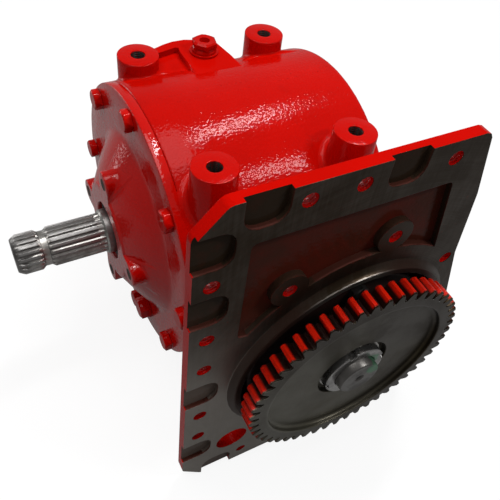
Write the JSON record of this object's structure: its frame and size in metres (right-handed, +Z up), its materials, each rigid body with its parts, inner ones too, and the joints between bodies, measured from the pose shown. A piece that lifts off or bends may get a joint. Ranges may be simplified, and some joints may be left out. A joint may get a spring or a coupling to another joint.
{
  "type": "cutter bar drive gearbox",
  "caption": "Right-angle bevel gearbox with a splined input shaft, a round cast drum in one piece with its mounting plate, and a spur gear on the output shaft.",
  "frame": {"origin": "under the middle of the part's box, level with the bottom edge of the mounting plate", "axes": "-Y out of the mounting plate's machined face along the output shaft, -X along the input shaft's splined stub, +Z up out of the four tapped bosses"},
  "size_m": [0.3194, 0.3423, 0.3365],
  "materials": {
    "red_paint": "glossy red paint over cast iron",
    "bright_steel": "turned and ground",
    "gear_steel": "cut and hardened, oiled",
    "black_steel": "blackened",
    "seal_rubber": "matte",
    "gasket_paper": "pressed fibre sheet"
  },
  "bodies": {
    "housing": {"gearbox_housing": "red_paint", "input_cover": "red_paint", "input_cover_gasket": "gasket_paper", "input_cover_bolt_1": "red_paint", "input_cover_bolt_2": "red_paint", "input_cover_bolt_3": "red_paint", "input_cover_bolt_4": "red_paint", "input_cover_bolt_5": "red_paint", "input_cover_bolt_6": "red_paint", "input_cover_bolt_7": "red_paint", "input_cover_bolt_8": "red_paint", "input_seal": "seal_rubber", "input_front_bearing_outer_race": "bright_steel", "input_rear_bearing_outer_race": "bright_steel", "rear_cap": "red_paint", "rear_cap_bolt_1": "red_paint", "rear_cap_bolt_2": "red_paint", "rear_cap_bolt_3": "red_paint", "rear_cap_bolt_4": "red_paint", "output_seal_carrier": "red_paint", "seal_carrier_bolt_1": "black_steel", "seal_carrier_bolt_2": "black_steel", "seal_carrier_bolt_3": "black_steel", "seal_carrier_bolt_4": "black_steel", "output_seal": "seal_rubber", "output_outer_bearing_outer_race": "bright_steel", "output_inner_bearing_outer_race": "bright_steel", "breather": "red_paint", "breather_washer": "bright_steel", "drain_plug": "red_paint", "level_plug": "red_paint", "cover_plug": "red_paint"},
    "input_rotor": {"input_shaft": "bright_steel", "input_bearing_spacer": "bright_steel", "input_bevel_gear": "gear_steel", "input_gear_key": "bright_steel", "input_spacer_tube": "bright_steel", "input_shaft_locknut": "black_steel", "input_front_bearing_inner_race": "bright_steel", "input_front_bearing_rollers": "bright_steel", "input_rear_bearing_inner_race": "bright_steel", "input_rear_bearing_rollers": "bright_steel"},
    "output_rotor": {"output_shaft": "bright_steel", "output_gear": "gear_steel", "gear_locknut": "bright_steel", "gear_lock_washer": "bright_steel", "output_gear_key": "bright_steel", "output_seal_sleeve": "bright_steel", "output_bearing_spacer": "bright_steel", "output_bevel_pinion": "gear_steel", "pinion_key": "bright_steel", "pinion_locknut": "black_steel", "output_outer_bearing_inner_race": "bright_steel", "output_outer_bearing_rollers": "bright_steel", "output_inner_bearing_inner_race": "bright_steel", "output_inner_bearing_rollers": "bright_steel"}
  },
  "joints": [
    {"name": "output_spin", "type": "hinge", "parent": "housing", "child": "output_rotor", "pos_m": [0.04775, -0.1392, 0.141], "axis": [0, 1, 0], "continuous": true},
    {"name": "input_spin", "type": "hinge", "parent": "housing", "child": "input_rotor", "pos_m": [0.04775, 0.0472, 0.141], "axis": [1, 0, 0], "continuous": true}
  ],
  "couplings": [
    {"joint": "input_spin", "follows": "output_spin", "ratio": -0.75}
  ]
}
